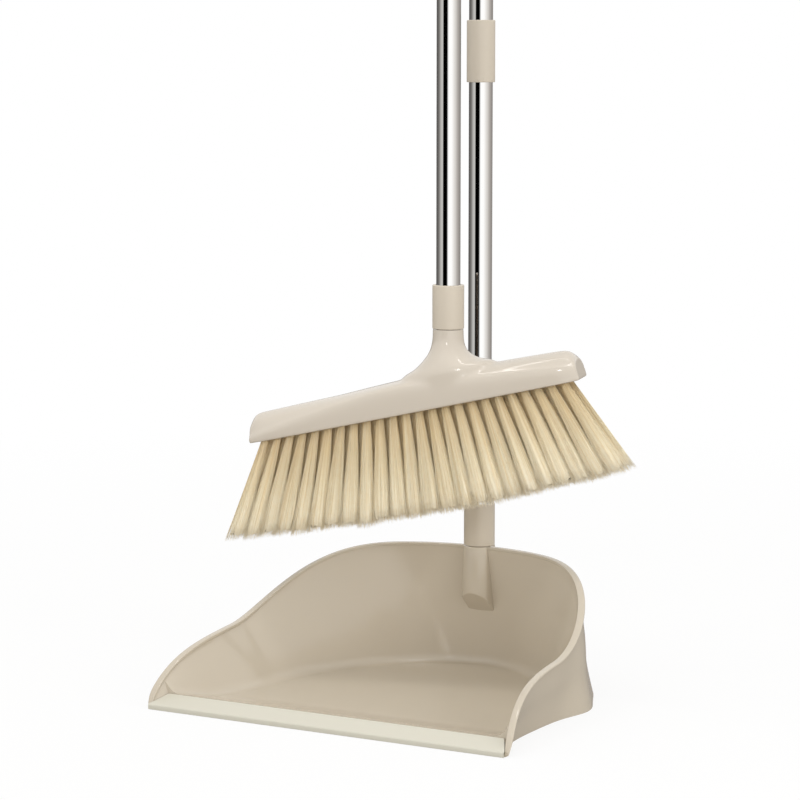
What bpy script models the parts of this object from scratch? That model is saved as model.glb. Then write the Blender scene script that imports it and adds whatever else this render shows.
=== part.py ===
"""Dust pan and broom set: pan on a jointed pole, broom clipped to that pole.

Blender 4.5, metres, +Z up.  The origin is on the flat underside of the pan,
on its plane of symmetry.  The pan's lip faces -Y.  Lengths below are in
millimetres and are turned into metres when a mesh is made.
"""
import bpy
import bmesh
import math
from mathutils import Matrix, Vector

for ob in list(bpy.data.objects):
    bpy.data.objects.remove(ob, do_unlink=True)

MM = 0.001

# ---------------------------------------------------------------- frame
LIP_Y = -130.0            # y of the lip's front edge; pan stations count from it
GAP = 0.3                 # clearance between neighbouring pieces

# ---------------------------------------------------------------- poles
TUBE_R = 9.5              # 19 mm tube
TUBE_WALL = 0.8
PAN_AXIS_Y = 247.0 + LIP_Y
BROOM_AXIS_Y = PAN_AXIS_Y - 53.0
COLLAR_R = 12.5
COUPLER_R = 11.3
SLEEVE_IN = 9.85
PLUG_IN_TUBE = 8.4
SHOULDER_R = 9.4
THREAD_R = 9.0
SOCKET_R = 9.3

BOSS_TOP = 103.4
PAN_COLLAR_TOP = 138.0
PAN_COUPLER_Z = (476.0, 525.0)
PAN_JOIN_Z = 500.0
PAN_GRIP_Z = 790.0

NECK_TOP = 283.5
BROOM_COLLAR_TOP = 318.5
BROOM_COUPLER_Z = (656.0, 705.0)
BROOM_JOIN_Z = 682.0
BROOM_GRIP_Z = 970.0

GRIP_LEN = 115.0
GRIP_R = 13.2
GRIP_SOCKET = 60.0

CLIP_Z = (592.0, 620.0)

# ---------------------------------------------------------------- pan
PAN_CENTRE = 104.0        # station where the straight sides meet the round back
BASE_HALF = 135.0         # foot of the wall, half width at the centre station
BASE_BACK = 163.0         # foot of the wall, centre station to the back
BASE_POWER = 3.0
TOE = 9.0                 # sideways spread of the foot near the rear corners
TOE_Y = 160.0             # station where that spread is largest
BASE_FLARE = 20.5
RIM_HALF = 146.0
RIM_BACK = 143.0
RIM_POWER = 2.2
RIM_FLARE = 11.0
FLOOR_HALF = 116.0
FLOOR_BACK = 156.5
FLOOR_POWER = 1.8
FLOOR_FLARE = 31.0
FILLET = 7.5              # reach of the round between wall and floor
HOLLOW_WALL = 3.0         # skirt and bowl walls left beside the hollow underside
FLANGE_W = 5.5
FLANGE_T = 2.2
WALL_T = 2.6
FLOOR_Z = 3.0
SILL_Z = 10.2
SILL_Y = 14.6
RAMP_END = 60.0

BOSS_R = 13.0
BOSS_FLAT = 10.6          # half width across the boss's flat sides
BOSS_DRAFT = 1.1          # how much wider the boss is at its foot than at its top
BOSS_CUT = (233.5, 65.0)  # y station and height where the sloped underside starts
BOSS_SLOPE = 0.9
NOSE_R = 8.0              # length of the rounded front ends of the side walls
NOSE_RIM = 4.4
NOSE_FOOT = 2.4

# ---------------------------------------------------------------- broom head
HEAD_Z = 224.0            # where the pole's axis meets the head's bottom plane
HEAD_U = 26.25            # that point along the head, from its middle
HEAD_YAW = math.radians(15.0)
HEAD_TILT = math.radians(12.4)
HEAD_L = 137.25
HEAD_B = 22.5
NECK_R = 12.3
BLOCK_T = 5.6
TUFTS = 24
TUFT_FIRST = -124.5
TUFT_LAST = 124.5
TUFT_LEN = 82.0
FAN_LEFT = -28.0
FAN_RIGHT = 21.5
ROWS = (-13.5, -4.5, 4.5, 13.5)


# ================================================================ materials
def material(name, colour, rough, metal=0.0):
    m = bpy.data.materials.new(name)
    m.use_nodes = True
    b = m.node_tree.nodes["Principled BSDF"]
    b.inputs["Base Color"].default_value = (*colour, 1.0)
    b.inputs["Roughness"].default_value = rough
    b.inputs["Metallic"].default_value = metal
    m.diffuse_color = (*colour, 1.0)
    return m


BEIGE = (0.66, 0.60, 0.52)
CREAM = (0.72, 0.70, 0.58)
STRAW = (0.76, 0.66, 0.44)
STEEL = (0.75, 0.74, 0.72)
DARK = (0.48, 0.43, 0.37)


# ================================================================ mesh helpers
class Builder:
    """Collects faces by point, so that equal points are one vertex."""

    def __init__(self):
        self.keys = {}
        self.points = []
        self.faces = []
        self.seen = set()

    def vert(self, p):
        k = (round(p[0], 3), round(p[1], 3), round(p[2], 3))
        if k not in self.keys:
            self.keys[k] = len(self.points)
            self.points.append((p[0], p[1], p[2]))
        return self.keys[k]

    def face(self, *pts):
        ids = []
        for p in pts:
            i = self.vert(p)
            if i not in ids:
                ids.append(i)
        tag = frozenset(ids)
        if len(ids) > 2 and tag not in self.seen:
            self.seen.add(tag)
            self.faces.append(ids)

    def ring(self, a, b):
        n = len(a)
        for i in range(n):
            j = (i + 1) % n
            self.face(a[i], a[j], b[j], b[i])

    def strip(self, a, b):
        for i in range(len(a) - 1):
            self.face(a[i], a[i + 1], b[i + 1], b[i])


def add_object(name, build, mat, origin=(0, 0, 0), sharp=35.0, matrix=None):
    """A mesh object with its origin at a point given in millimetres."""
    mesh = bpy.data.meshes.new(name)
    o = Vector(origin)
    pts = [Vector(p) for p in build.points]
    if matrix is not None:
        pts = [matrix @ p for p in pts]
    mesh.from_pydata([(p - o) * MM for p in pts], [], build.faces)
    bm = bmesh.new()
    bm.from_mesh(mesh)
    bmesh.ops.recalc_face_normals(bm, faces=bm.faces)
    bm.to_mesh(mesh)
    bm.free()
    mesh.materials.append(mat)
    mesh.shade_smooth()
    mesh.set_sharp_from_angle(angle=math.radians(sharp))
    ob = bpy.data.objects.new(name, mesh)
    ob.location = o * MM
    bpy.context.scene.collection.objects.link(ob)
    return ob


def combine(ob, cutter, operation):
    cutter.hide_render = True
    cutter.display_type = "WIRE"
    m = ob.modifiers.new(operation.lower() + "_" + cutter.name, "BOOLEAN")
    m.operation = operation
    m.object = cutter
    m.solver = "EXACT"
    return m


def circle(r, z, n=32, cx=0.0, cy=0.0, rx=None, ry=None):
    rx = r if rx is None else rx
    ry = r if ry is None else ry
    return [(cx + rx * math.cos(2 * math.pi * i / n), cy + ry * math.sin(2 * math.pi * i / n), z) for i in range(n)]


def turned(profile, cy, n=32, cx=0.0):
    """A turned solid about a vertical axis. profile: closed loop of (radius, z)."""
    b = Builder()
    rings = [circle(r, z, n, cx, cy) if r > 0 else [(cx, cy, z)] * n for r, z in profile]
    for i in range(len(rings)):
        if profile[i][0] == 0 and profile[(i + 1) % len(rings)][0] == 0:
            continue
        b.ring(rings[i], rings[(i + 1) % len(rings)])
    return b


def solid_of_rings(rings):
    b = Builder()
    for i in range(len(rings) - 1):
        b.ring(rings[i], rings[i + 1])
    b.face(*rings[0])
    b.face(*rings[-1])
    return b


def box(lo, hi):
    r0 = [(lo[0], lo[1], lo[2]), (hi[0], lo[1], lo[2]), (hi[0], hi[1], lo[2]), (lo[0], hi[1], lo[2])]
    return solid_of_rings([r0, [(x, y, hi[2]) for x, y, _ in r0]])


# ================================================================ the pan
def floor_z(y):
    if y >= RAMP_END:
        return FLOOR_Z
    t = min(1.0, (RAMP_END - y) / (RAMP_END - SILL_Y))
    return FLOOR_Z + (SILL_Z - FLOOR_Z) * t ** 1.6


def rim_z(y):
    t = min(1.0, max(0.0, (y - 100.0) / 135.0))
    nose = 5.0 * (1.0 - math.exp(-y / 2.5))
    return nose + 38.5 * (1.0 - math.exp(-y / 26.0)) + 0.068 * y + 43.0 * t * t * (3.0 - 2.0 * t)


def oval(phi, a, b, power):
    """Point and outward normal of a superellipse about the centre station."""
    c, s = math.cos(phi), math.sin(phi)
    r = ((abs(c) / a) ** power + (abs(s) / b) ** power) ** (-1.0 / power)
    x, y = r * c, r * s
    nx, ny = abs(x / a) ** (power - 1) / a, abs(y / b) ** (power - 1) / b
    m = math.hypot(nx, ny)
    return (x, PAN_CENTRE + y), (nx / m, ny / m)


def toe_out(y):
    """How far the foot of the wall spreads sideways towards the rear corners."""
    return TOE * math.exp(-((y - TOE_Y) / 28.0) ** 2)


def station(kind, value):
    """Plan points of one wall section: foot, rim edge, floor edge, normals."""
    if kind == "side":
        f = (PAN_CENTRE - value) / PAN_CENTRE
        foot = (BASE_HALF + BASE_FLARE * f ** 4 + toe_out(value), value)
        rim = (RIM_HALF + RIM_FLARE * ((PAN_CENTRE - value) / 98.0) ** 2.2, value)
        flo = (FLOOR_HALF + FLOOR_FLARE * f ** 1.3, value)
        return foot, (1.0, 0.0), rim, (1.0, 0.0), flo
    foot, nf = oval(value, BASE_HALF, BASE_BACK, BASE_POWER)
    foot = (foot[0] + math.copysign(toe_out(foot[1]) * min(1.0, abs(foot[0]) / 60.0), foot[0]), foot[1])
    rim, nr = oval(value, RIM_HALF, RIM_BACK, RIM_POWER)
    flo, _ = oval(value, FLOOR_HALF, FLOOR_BACK, FLOOR_POWER)
    return foot, nf, rim, nr, flo


def off(p, n, d, z):
    return (p[0] + n[0] * d, p[1] + n[1] * d, z)


def mix(a, b, t):
    return tuple(a[i] + (b[i] - a[i]) * t for i in range(3))


def wall_section(kind, value, bar):
    """Open outline from the foot's outer edge, over the rim, to the floor."""
    foot, nf, rim, nr, flo = station(kind, value)
    zr = rim_z(rim[1])
    nose = 1.0 - math.sqrt(1.0 - ((NOSE_R - value) / NOSE_R) ** 2) if bar and value < NOSE_R else 0.0
    under = off(rim, nr, -max(FLANGE_W - WALL_T, NOSE_RIM * nose + 0.3), max(zr - FLANGE_T - 0.3, 0.3 * zr))
    low = off(foot, nf, -NOSE_FOOT * nose, 0.0)
    pts = []
    for t in (0.0, 0.07, 0.2, 0.5, 1.0):
        p = mix(low, under, t)
        pull = 1.6 * math.sin(math.pi * min(1.0, t / 0.6)) * min(1.0, zr / 60.0) * nf[0] ** 2
        pts.append((p[0] - nf[0] * pull, p[1] - nf[1] * pull, p[2]))
    pts.append(off(rim, nr, -0.2 - NOSE_RIM * nose, max(zr - FLANGE_T, 0.42 * zr)))
    pts.append(off(rim, nr, -NOSE_RIM * nose, zr - 0.8))
    pts.append(off(rim, nr, -0.8 - NOSE_RIM * nose, zr))
    pts.append(off(rim, nr, -FLANGE_W + 0.8, zr))
    edge = off(rim, nr, -FLANGE_W, zr - 0.8)
    pts.append(edge)
    inner = off(foot, nf, -3.2, 0.0)
    corner = (flo[0], flo[1], floor_z(flo[1]))
    away = math.hypot(flo[0], flo[1] - PAN_CENTRE)
    inward = (-1.0, 0.0) if kind == "side" else (-flo[0] / away, -(flo[1] - PAN_CENTRE) / away)
    end = off(flo, inward, FILLET, floor_z(flo[1] + inward[1] * FILLET))
    k = min(0.5, FILLET / math.dist(corner, edge))
    start = mix(corner, edge, k)
    if bar:
        pts.append(mix(inner, edge, 0.66))
        for t in (0.25, 0.5, 0.75):
            pts.append(mix(mix(inner, edge, 0.66), inner, t))
        pts.append(inner)
    else:
        pts.append(start)
        for t in (0.25, 0.5, 0.75):
            a, c = mix(start, corner, t), mix(corner, end, t)
            pts.append(mix(a, c, t))
        pts.append(end)
    return pts, low, inner


def pan_shell():
    b = Builder()
    bars = [1.0, 2.4, 4.8, 8.0, SILL_Y]
    sides = [SILL_Y, 21.0, 29.0, 38.0, 49.0, 62.0, 76.0, 90.0]
    backs = [math.radians(a) for a in (0, 8, 16, 24, 32, 39, 46, 53, 60, 67, 75, 82.5, 90)]
    mir = lambda p: (-p[0], p[1], p[2])
    bar_s = [wall_section("side", y, True) for y in bars]
    full = [wall_section("side", y, False) for y in sides] + [wall_section("back", a, False) for a in backs]
    chain = bar_s + full
    for i in range(len(chain) - 1):
        a, c = chain[i][0], chain[i + 1][0]
        b.strip(a, c)
        b.strip([mir(p) for p in c], [mir(p) for p in a])
    for i in range(len(bar_s) - 1):
        (_, l0, i0), (_, l1, i1) = bar_s[i], bar_s[i + 1]
        b.face(l0, i0, i1, l1)
        b.face(mir(l0), mir(l1), mir(i1), mir(i0))
    first = bar_s[0][0]
    b.face(*first)
    b.face(*[mir(p) for p in first])
    cols = 8

    def row(p):
        q = mir(p)
        return [mix(q, p, i / cols) for i in range(cols + 1)]

    tops = [row(s[0][-1]) for s in full]
    unders = [row(s[2]) for s in full]
    for i in range(len(full) - 1):
        b.strip(tops[i], tops[i + 1])
        b.strip(unders[i], unders[i + 1])
        l0, l1, i0, i1 = full[i][1], full[i + 1][1], full[i][2], full[i + 1][2]
        b.face(l0, l1, i1, i0)
        b.face(mir(l0), mir(i0), mir(i1), mir(l1))
    b.strip(unders[0], tops[0])
    b.points = [(x, y + LIP_Y, z) for x, y, z in b.points]
    return b


def hollow_form():
    """Cutter for the space between the outer skirt and the bowl, open below."""
    places = [("side", y) for y in (72.0, 80.0, 90.0)] + [("back", math.radians(a)) for a in (0, 8, 16, 24, 32, 39, 46, 53, 60)]
    rings = []
    for kind, value in places:
        foot, nf, rim, nr, flo = station(kind, value)
        zr = rim_z(rim[1])
        under = off(rim, nr, -(FLANGE_W - WALL_T), zr - FLANGE_T - 0.3)
        edge = off(rim, nr, -FLANGE_W, zr - 0.8)
        low = off(foot, nf, 0.0, 0.0)
        seat = (flo[0], flo[1], 0.0)
        gap0 = math.dist(low[:2], seat[:2])
        t = min(0.86, max(0.05, (gap0 - 8.0) / (gap0 - 2.9)))
        apex = mix(mix(low, under, t), mix(seat, edge, t), 0.5)
        d = ((flo[0] - foot[0]) / gap0, (flo[1] - foot[1]) / gap0)
        a = off(foot, d, HOLLOW_WALL + 1.2, -2.0)
        c = off(flo, d, -HOLLOW_WALL - 1.8, -2.0)
        rings.append([(p[0], p[1] + LIP_Y, p[2]) for p in (a, apex, c)])
    return rings


def make_pan():
    mat = material("pan_plastic", BEIGE, 0.28)
    pan = add_object("pan_body", pan_shell(), mat, sharp=40.0)
    ring = [(max(-BOSS_FLAT, min(BOSS_FLAT, x)), y, z) for x, y, z in circle(BOSS_R, BOSS_TOP, 36, 0.0, PAN_AXIS_Y)]
    foot = [(x * BOSS_DRAFT, PAN_AXIS_Y + (y - PAN_AXIS_Y) * BOSS_DRAFT) for x, y, _ in ring]
    foot = [(x, y, BOSS_CUT[1] - BOSS_SLOPE * (y - LIP_Y - BOSS_CUT[0])) for x, y in foot]
    boss = add_object("boss_form", solid_of_rings([foot, ring]), mat)
    tongue = add_object("tongue_form", box((-128.0, 8.0 + LIP_Y, 1.8), (128.0, SILL_Y + 2.4 + LIP_Y, 3.4)), mat)
    bore = add_object("bore_form", turned([(0, 66.0), (SOCKET_R, 66.0), (SOCKET_R, 112.0), (0, 112.0)], PAN_AXIS_Y), mat)
    combine(pan, boss, "UNION")
    combine(pan, tongue, "UNION")
    combine(pan, bore, "DIFFERENCE")
    right = hollow_form()
    for side, rings in (("right", right), ("left", [[(-x, y, z) for x, y, z in r] for r in right])):
        cut = add_object("hollow_form_" + side, solid_of_rings(rings), mat)
        combine(pan, cut, "DIFFERENCE")

    lip = Builder()
    ramp = [(0.3, 0.0), (0.0, 3.4), (1.0, 4.8), (7.5, 7.5), (14.2, 10.2), (14.2, 3.8),
            (7.5, 3.8), (7.5, 1.4), (14.2, 1.4), (14.2, 0.0), (7.5, 0.0)]

    def half(y):
        return BASE_HALF + BASE_FLARE * ((PAN_CENTRE - y) / PAN_CENTRE) ** 4 - 3.2 - 0.35

    cols = 6
    rings = []
    for c in range(cols + 1):
        t = -1.0 + 2.0 * c / cols
        rings.append([(half(max(y, 1.0)) * t, y + LIP_Y, z) for y, z in ramp])
    for c in range(cols):
        lip.ring(rings[c], rings[c + 1])
    lip.face(*rings[0])
    lip.face(*rings[-1])
    add_object("pan_lip", lip, material("lip_rubber", CREAM, 0.45), sharp=30.0)


# ================================================================ poles
def bevelled_sleeve(z0, z1, r_out, r_in, bev=1.2):
    return [(r_in, z0), (r_out - bev, z0), (r_out - 0.3 * bev, z0 + 0.4 * bev), (r_out, z0 + bev),
            (r_out, z1 - bev), (r_out - 0.3 * bev, z1 - 0.4 * bev), (r_out - bev, z1), (r_in, z1)]


def tube(z0, z1):
    r = TUBE_R - TUBE_WALL
    return [(r, z0), (TUBE_R, z0), (TUBE_R, z1), (r, z1)]


def foot_plug(z_thread, z_face, z_tube):
    """Screw plug: thread below the socket's face, shoulder, spigot in the tube."""
    return [(0, z_thread), (THREAD_R - 1.0, z_thread), (THREAD_R, z_thread + 1.2), (THREAD_R, z_face + GAP),
            (SHOULDER_R, z_face + GAP), (SHOULDER_R, z_tube - GAP), (PLUG_IN_TUBE, z_tube - GAP),
            (PLUG_IN_TUBE, z_tube + 26.0), (0, z_tube + 26.0)]


def coupler_plug(z):
    """Plug between two tubes, with a shoulder that both tubes stop at."""
    return [(0, z - 30.0), (PLUG_IN_TUBE, z - 30.0), (PLUG_IN_TUBE, z - 2.7), (SHOULDER_R, z - 2.7),
            (SHOULDER_R, z + 2.7), (PLUG_IN_TUBE, z + 2.7), (PLUG_IN_TUBE, z + 30.0), (0, z + 30.0)]


def grip(name, z0, cy, mat):
    """Round grip, flattened at the top into an ear with a hanging hole."""
    n = 28
    rings = []
    top = z0 + GRIP_LEN
    ear = top - 12.0

    def oblong(z, ax, ay, p):
        pts = []
        for i in range(n):
            a = 2 * math.pi * i / n
            c, s = math.cos(a), math.sin(a)
            r = ((abs(c) / ax) ** p + (abs(s) / ay) ** p) ** (-1.0 / p)
            pts.append((r * c, cy + r * s, z))
        return pts

    for z, r in ((z0, GRIP_R - 1.6), (z0 + 0.6, GRIP_R - 0.5), (z0 + 1.8, GRIP_R), (z0 + 64.0, GRIP_R), (z0 + 76.0, GRIP_R)):
        rings.append(oblong(z, r, r, 2.0))
    rings.append(oblong(z0 + 82.0, GRIP_R, 11.0, 2.2))
    rings.append(oblong(z0 + 88.0, GRIP_R - 0.4, 7.6, 2.6))
    rings.append(oblong(z0 + 94.0, GRIP_R - 0.8, 5.4, 3.0))
    rings.append(oblong(ear, 12.0, 4.8, 3.2))
    for a in (25, 45, 62, 76, 86):
        rings.append(oblong(ear + 12.0 * math.sin(math.radians(a)), 12.0 * math.cos(math.radians(a)), 4.8 - 0.02 * a, 3.0))
    ob = add_object(name, solid_of_rings(rings), mat, origin=(0, cy, z0), sharp=40.0)
    sock = add_object(name + "_socket_form", turned([(0, z0 - 5.0), (SLEEVE_IN, z0 - 5.0), (SLEEVE_IN, z0 + GRIP_SOCKET), (0, z0 + GRIP_SOCKET)], cy), mat)
    hole = Builder()
    a = [(5.0 * math.cos(2 * math.pi * i / 20), cy - 20.0, ear - 1.0 + 6.0 * math.sin(2 * math.pi * i / 20)) for i in range(20)]
    c = [(x, cy + 20.0, z) for x, _, z in a]
    hole.ring(a, c)
    hole.face(*a)
    hole.face(*c)
    eye = add_object(name + "_eye_form", hole, mat)
    combine(ob, sock, "DIFFERENCE")
    combine(ob, eye, "DIFFERENCE")


def make_poles():
    chrome = lambda n: material(n, STEEL, 0.08, 1.0)
    plast = lambda n: material(n, BEIGE, 0.35)
    cy = PAN_AXIS_Y
    o = (0, cy, BOSS_TOP)
    tube_foot = BOSS_TOP + 11.4
    add_object("pan_collar", turned(bevelled_sleeve(BOSS_TOP + GAP, PAN_COLLAR_TOP, COLLAR_R, SLEEVE_IN), cy), plast("pan_collar_plastic"), o)
    add_object("pan_socket_plug", turned(foot_plug(68.0, BOSS_TOP, tube_foot), cy), material("pan_plug_plastic", DARK, 0.5), o)
    add_object("pan_lower_tube", turned(tube(tube_foot, PAN_JOIN_Z - 3.0), cy), chrome("pan_lower_chrome"), o)
    add_object("pan_coupler", turned(bevelled_sleeve(*PAN_COUPLER_Z, COUPLER_R, SLEEVE_IN), cy), plast("pan_coupler_plastic"), o)
    add_object("pan_coupler_plug", turned(coupler_plug(PAN_JOIN_Z), cy), material("pan_coupler_plug_plastic", DARK, 0.5), o)
    up = (0, cy, PAN_JOIN_Z)
    add_object("pan_upper_tube", turned(tube(PAN_JOIN_Z + 3.0, PAN_GRIP_Z + GRIP_SOCKET - 0.4), cy), chrome("pan_upper_chrome"), up)
    grip("pan_grip", PAN_GRIP_Z, cy, plast("pan_grip_plastic"))

    cy = BROOM_AXIS_Y
    o = (0, cy, NECK_TOP)
    tube_foot = NECK_TOP + 11.4
    add_object("broom_collar", turned(bevelled_sleeve(NECK_TOP + GAP + 0.1, BROOM_COLLAR_TOP, COLLAR_R, SLEEVE_IN), cy), plast("broom_collar_plastic"), o)
    add_object("broom_neck_plug", turned(foot_plug(253.0, NECK_TOP, tube_foot), cy), material("broom_plug_plastic", DARK, 0.5), o)
    add_object("broom_lower_tube", turned(tube(tube_foot, BROOM_JOIN_Z - 3.0), cy), chrome("broom_lower_chrome"), o)
    add_object("broom_coupler", turned(bevelled_sleeve(*BROOM_COUPLER_Z, COUPLER_R, SLEEVE_IN), cy), plast("broom_coupler_plastic"), o)
    add_object("broom_coupler_plug", turned(coupler_plug(BROOM_JOIN_Z), cy), material("broom_coupler_plug_plastic", DARK, 0.5), o)
    up = (0, cy, BROOM_JOIN_Z)
    add_object("broom_upper_tube", turned(tube(BROOM_JOIN_Z + 3.0, BROOM_GRIP_Z + GRIP_SOCKET - 0.4), cy), chrome("broom_upper_chrome"), up)
    grip("broom_grip", BROOM_GRIP_Z, cy, plast("broom_grip_plastic"))


# ================================================================ clip
def make_clip():
    """Ring on the pan's pole, arm, and jaws open to the front for the broom's pole."""
    mat = material("clip_plastic", BEIGE, 0.35)
    z0, z1 = CLIP_Z
    right = []
    py, by = PAN_AXIS_Y, BROOM_AXIS_Y
    for a in range(90, -61, -15):                      # round the ring's outside
        t = math.radians(a)
        right.append((13.2 * math.cos(t), py + 13.2 * math.sin(t)))
    right.append((5.0, py - 15.5))
    right.append((5.0, by + 14.6))
    for a in range(60, -1, -15):                       # outside of the jaw
        t = math.radians(a)
        right.append((13.0 * math.cos(t), by + 13.0 * math.sin(t)))
    right.append((12.8, by - 6.0))
    right.append((14.6, by - 10.5))
    right.append((12.4, by - 11.6))
    right.append((SLEEVE_IN, by - 6.5))
    for a in range(0, 90, 15):                         # inside of the jaw
        t = math.radians(a)
        right.append((SLEEVE_IN * math.cos(t), by + SLEEVE_IN * math.sin(t)))
    left = [(-x, y) for x, y in reversed(right)]
    outline = right + [(0.0, by + SLEEVE_IN)] + left[:-1]
    a = [(x, y, z0) for x, y in outline]
    b = [(x, y, z1) for x, y in outline]
    ob = add_object("broom_clip", solid_of_rings([a, b]), mat, origin=(0, py, z0), sharp=30.0)
    hole = add_object("clip_hole_form", turned([(0, z0 - 5.0), (SLEEVE_IN, z0 - 5.0), (SLEEVE_IN, z1 + 5.0), (0, z1 + 5.0)], py), mat)
    combine(ob, hole, "DIFFERENCE")


# ================================================================ broom head
def head_matrix():
    """Head coordinates (along, depth, up from the bottom plane) to the row's."""
    return (Matrix.Translation((0.0, BROOM_AXIS_Y, HEAD_Z)) @ Matrix.Rotation(HEAD_YAW, 4, "Z")
            @ Matrix.Rotation(-HEAD_TILT, 4, "Y") @ Matrix.Translation((-HEAD_U, 0.0, 0.0)))


def head_section(u):
    """Cross section of the head at a place along it: D shape on a flat bottom."""
    e = min(1.0, abs(u) / HEAD_L)
    b = HEAD_B * (1.0 - 0.10 * e ** 2 - 0.20 * e ** 14)
    left = max(0.0, -u)
    top = 26.2 - 2.5 * e ** 2 - 8.0 * e ** 44 - 2.4 * min(1.0, left / 60.0) + 1.2 * (left / HEAD_L) ** 18
    face = 23.0 - 11.5 * e ** 1.3 + (1.8 if u > 0 else -4.2) * e ** 2 - 1.0 * e ** 24
    rise = top - face
    half = [(b - 0.8, 0.0), (b, 0.8), (b + 0.3, face * 0.5), (b - 0.6, face - 1.8), (b - 2.6, face + 0.5),
            (b * 0.66, face + rise * 0.55), (b * 0.36, top - 0.16 * rise), (0.0, top)]
    other = [(-v, w) for v, w in reversed(half[:-1])]
    return [(u, v, w) for v, w in half + other]


def head_body():
    us = [-HEAD_L, -0.99 * HEAD_L, -0.97 * HEAD_L, -0.93 * HEAD_L, -0.85 * HEAD_L, -95.0, -65.0, -35.0, -5.0,
          25.0, 55.0, 80.0, 105.0, 0.85 * HEAD_L, 0.93 * HEAD_L, 0.97 * HEAD_L, 0.99 * HEAD_L, HEAD_L]
    rings = []
    for u in us:
        ring = head_section(u)
        lean = 2.0 * max(0.0, abs(u) / HEAD_L - 0.9) / 0.1
        sgn = 1.0 if u > 0 else -1.0
        rings.append([(p[0] - sgn * lean * (p[2] / 22.0), p[1], p[2]) for p in ring])
    return solid_of_rings(rings)


def neck_body():
    """Upright round neck that flares into the tilted head."""
    m = head_matrix().inverted()
    n = 32
    levels = [(NECK_TOP, NECK_R, NECK_R, 0.0), (274.0, 12.6, 12.9, 0.0), (267.5, 14.4, 15.0, 0.25), (262.0, 18.6, 17.8, 0.55),
              (256.0, 27.0, 20.8, 0.85), (251.5, 38.0, 22.3, 1.0), (240.0, 41.0, 22.6, 1.0)]
    rings = []
    for z, ru, rv, k in levels:
        ring = []
        for i in range(n):
            a = 2 * math.pi * i / n
            p = Vector((ru * math.cos(a), rv * math.sin(a), 0.0))
            p = Matrix.Rotation(HEAD_YAW, 3, "Z") @ (Matrix.Rotation(-HEAD_TILT * k, 3, "Y") @ p)
            p = m @ (Vector((0.0, BROOM_AXIS_Y, z)) + p)
            ring.append(tuple(p))
        rings.append(ring)
    return solid_of_rings(rings)


def block_outline(grow):
    pts = []
    ax, ay = HEAD_L - 6.0 + grow, HEAD_B - 4.4 + grow
    for i in range(40):
        a = 2 * math.pi * i / 40
        c, s = math.cos(a), math.sin(a)
        pts.append((ax * math.copysign(abs(c) ** 0.35, c), ay * math.copysign(abs(s) ** 0.5, s)))
    return pts


def tuft_angle(u):
    t = (u - TUFT_FIRST) / (TUFT_LAST - TUFT_FIRST)
    return math.radians(FAN_LEFT + (FAN_RIGHT - FAN_LEFT) * t)


def tuft_row(index, v0):
    """One row of tufts: separate at the root, together towards the tips."""
    half = 3.6
    pitch = (TUFT_LAST - TUFT_FIRST) / (TUFTS - 1)
    shift = 0.0 if index % 2 == 0 else pitch / 2
    count = TUFTS if index % 2 == 0 else TUFTS - 1

    def out(u, d):
        """Point at a distance along a bristle whose root is at u."""
        a = tuft_angle(u)
        return (u + math.sin(a) * d, -math.cos(a) * d)

    roots = [TUFT_FIRST + shift + pitch * i for i in range(count)]
    line = []
    for i, u in enumerate(roots):
        line.append(out(u - half, GAP))
        line.append(out(u + half, GAP))
        if i < count - 1:
            line.append(out(u + pitch / 2, 30.0))
    tips = [out(u, TUFT_LEN) for u in [roots[0] - half] + roots[1:-1:2] + [roots[-1] + half]]
    outline = line + tips[::-1]
    front, back = [], []
    for u, w in outline:
        t = min(1.0, -w / TUFT_LEN)
        mid = v0 * (1.0 + 0.75 * t)
        th = 3.5 + 2.3 * t
        front.append((u, mid - th, w))
        back.append((u, mid + th, w))
    return solid_of_rings([front, back])


def make_head():
    m = head_matrix()
    mat = material("head_plastic", BEIGE, 0.25)
    o = (0, BROOM_AXIS_Y, NECK_TOP)
    head = add_object("head_shell", head_body(), mat, o, sharp=32.0, matrix=m)
    neck = add_object("neck_form", neck_body(), mat, matrix=m)
    bore = add_object("neck_bore_form", turned([(0, 251.0), (SOCKET_R, 251.0), (SOCKET_R, 295.0), (0, 295.0)], BROOM_AXIS_Y), mat)
    low = block_outline(GAP)
    pocket = add_object("pocket_form", solid_of_rings([[(x, y, -4.0) for x, y in low], [(x, y, BLOCK_T + GAP) for x, y in low]]), mat, matrix=m)
    combine(head, neck, "UNION")
    combine(head, bore, "DIFFERENCE")
    combine(head, pocket, "DIFFERENCE")
    flat = block_outline(0.0)
    add_object("tuft_block", solid_of_rings([[(x, y, 0.0) for x, y in flat], [(x, y, BLOCK_T) for x, y in flat]]),
               material("block_plastic", BEIGE, 0.5), o, matrix=m)
    for i, v in enumerate(ROWS):
        add_object("tuft_row_%d" % (i + 1), tuft_row(i, v), material("bristle_%d" % (i + 1), STRAW, 0.7), o, sharp=30.0, matrix=m)


make_pan()
make_poles()
make_clip()
make_head()
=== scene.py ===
import math
import bpy
import bmesh
import numpy as np
from mathutils import Matrix, Vector


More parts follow.
